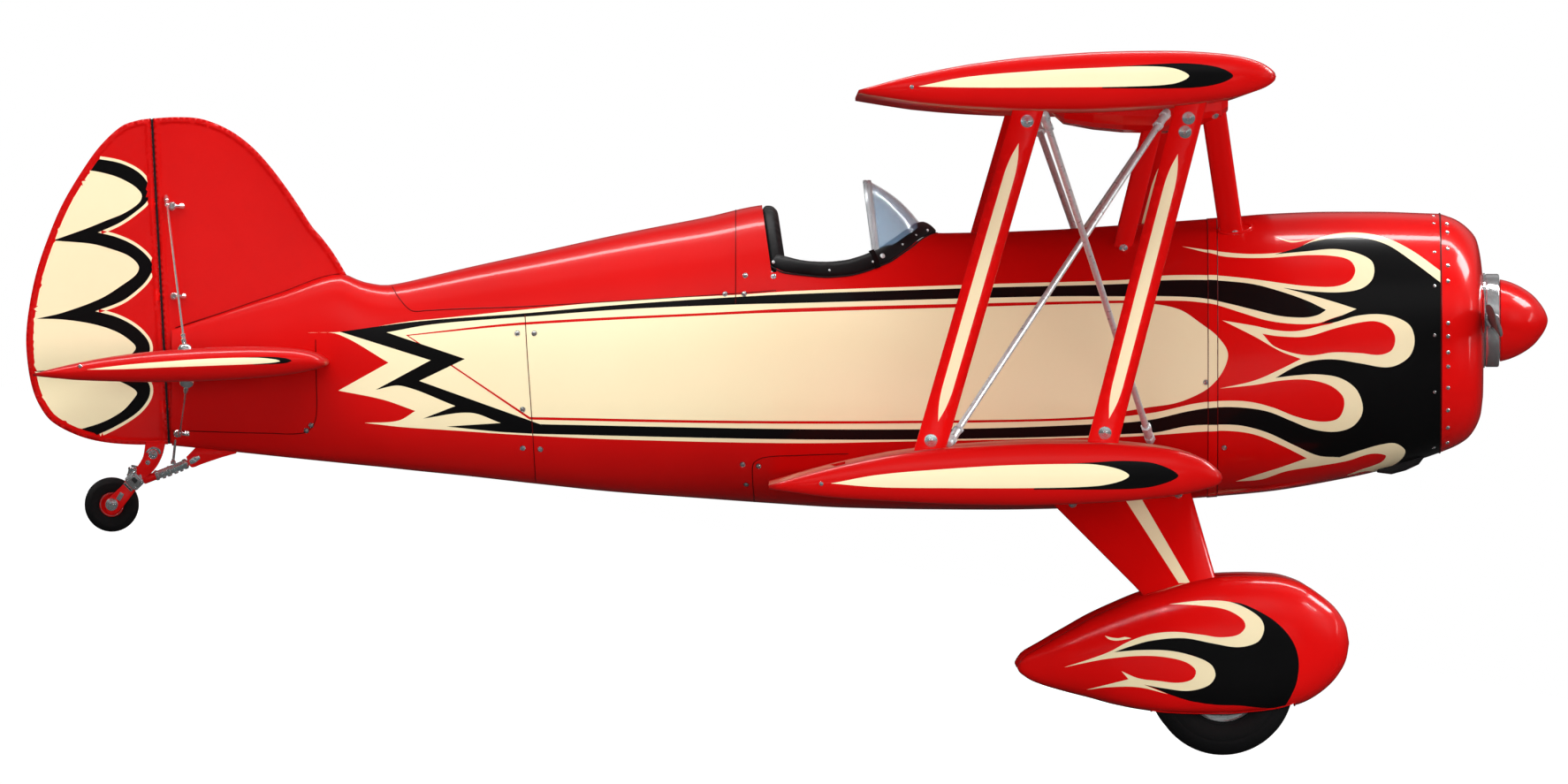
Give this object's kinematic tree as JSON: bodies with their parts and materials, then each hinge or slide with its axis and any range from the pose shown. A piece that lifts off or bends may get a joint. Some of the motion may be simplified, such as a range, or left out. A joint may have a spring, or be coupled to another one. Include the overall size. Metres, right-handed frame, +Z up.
{
  "type": "single-seat sport biplane",
  "caption": "Sport biplane on its tailwheel gear, with an open cockpit, wheel pants, a windshield and a two-blade propeller; controls and wheels turn.",
  "frame": {"origin": "on the ground under the middle of the object's box", "axes": "+X to the nose, +Y to port, +Z up; parked on its three wheels, nose up by 11.3 degrees"},
  "size_m": [5.6046, 6.86, 2.5545],
  "materials": {
    "red_paint": "gloss",
    "cream_paint": "gloss",
    "red_fabric": "gloss dope",
    "polished": "polished",
    "steel": "satin",
    "casting": "matte",
    "leather": "satin",
    "tyre": "matte",
    "dark": "matte",
    "glass": "clear"
  },
  "bodies": {
    "airframe": {"rear_fuselage": "red_fabric", "centre_fuselage": "red_paint", "turtle_deck": "red_fabric", "headrest_pad": "leather", "firewall": "red_paint", "engine_cowling": "red_paint", "nose_bowl": "red_paint", "engine": "casting", "chin_outlet": "dark", "cockpit_coaming": "leather", "windshield_frame": "polished", "windshield": "glass", "seat": "leather", "instrument_panel": "dark", "control_stick": "steel", "vertical_fin": "red_paint", "stabilizer_right": "red_fabric", "stabilizer_left": "red_fabric", "upper_wing": "red_fabric", "centre_section_fairing": "red_paint", "lower_wing_right": "red_fabric", "lower_wing_left": "red_fabric", "interplane_strut_rear_right": "red_paint", "interplane_strut_rear_left": "red_paint", "interplane_strut_front_right": "red_paint", "interplane_strut_front_left": "red_paint", "cabane_strut_rear_right": "red_paint", "cabane_strut_rear_left": "red_paint", "cabane_strut_front_right": "red_paint", "cabane_strut_front_left": "red_paint", "flying_wire_right": "polished", "flying_wire_left": "polished", "landing_wire_right": "polished", "landing_wire_left": "polished", "gear_leg_right": "red_paint", "gear_leg_left": "red_paint", "wheel_pant_right": "red_paint", "wheel_pant_left": "red_paint", "tail_gear_arm": "red_paint", "tail_bracket": "red_paint", "tail_spring_strut": "polished"},
    "propeller_group": {"propeller": "polished", "propeller_backplate": "polished", "spinner": "red_paint"},
    "main_wheel_right": {"main_tyre_right": "tyre", "main_rim_right": "cream_paint"},
    "main_wheel_left": {"main_tyre_left": "tyre", "main_rim_left": "cream_paint"},
    "tail_fork_body": {"tail_fork": "red_paint"},
    "tail_wheel": {"tail_tyre": "tyre", "tail_rim": "red_paint"},
    "rudder_body": {"rudder": "red_fabric"},
    "elevator": {"elevator_right": "red_fabric", "elevator_left": "red_fabric"},
    "aileron_right_body": {"aileron_right": "red_fabric"},
    "aileron_left_body": {"aileron_left": "red_fabric"}
  },
  "joints": [
    {"name": "propeller_spin", "type": "hinge", "parent": "airframe", "child": "propeller_group", "pos_m": [2.59752, 0, 1.79602], "axis": [0.9806, 0, 0.1958], "continuous": true},
    {"name": "main_wheel_right_spin", "type": "hinge", "parent": "airframe", "child": "main_wheel_right", "pos_m": [1.86305, -0.8, 0.265], "axis": [0, 1, 0], "continuous": true},
    {"name": "main_wheel_left_spin", "type": "hinge", "parent": "airframe", "child": "main_wheel_left", "pos_m": [1.86305, 0.8, 0.265], "axis": [0, 1, 0], "continuous": true},
    {"name": "tail_wheel_steer", "type": "hinge", "parent": "airframe", "child": "tail_fork_body", "pos_m": [-2.29629, 0, 0.23614], "axis": [0, 0, 1], "range_deg": [-30, 30]},
    {"name": "tail_wheel_spin", "type": "hinge", "parent": "tail_fork_body", "child": "tail_wheel", "pos_m": [-2.35223, 0, 0.1026], "axis": [0, 1, 0], "continuous": true},
    {"name": "rudder_hinge", "type": "hinge", "parent": "airframe", "child": "rudder_body", "pos_m": [-2.31292, 0, 0.79163], "axis": [-0.2473, 0, 0.9689], "range_deg": [-30, 30]},
    {"name": "elevator_hinge", "type": "hinge", "parent": "airframe", "child": "elevator", "pos_m": [-2.1616, 0, 0.675], "axis": [0, 1, 0], "range_deg": [-22, 25]},
    {"name": "aileron_right_hinge", "type": "hinge", "parent": "airframe", "child": "aileron_right_body", "pos_m": [0.27026, -2.05, 0.72966], "axis": [0, 1, 0], "range_deg": [-20, 20]},
    {"name": "aileron_left_hinge", "type": "hinge", "parent": "airframe", "child": "aileron_left_body", "pos_m": [0.27026, 2.05, 0.72966], "axis": [0, 1, 0], "range_deg": [-20, 20]}
  ],
  "couplings": [
    {"joint": "tail_wheel_steer", "follows": "rudder_hinge", "ratio": 1},
    {"joint": "aileron_left_hinge", "follows": "aileron_right_hinge", "ratio": -1}
  ]
}
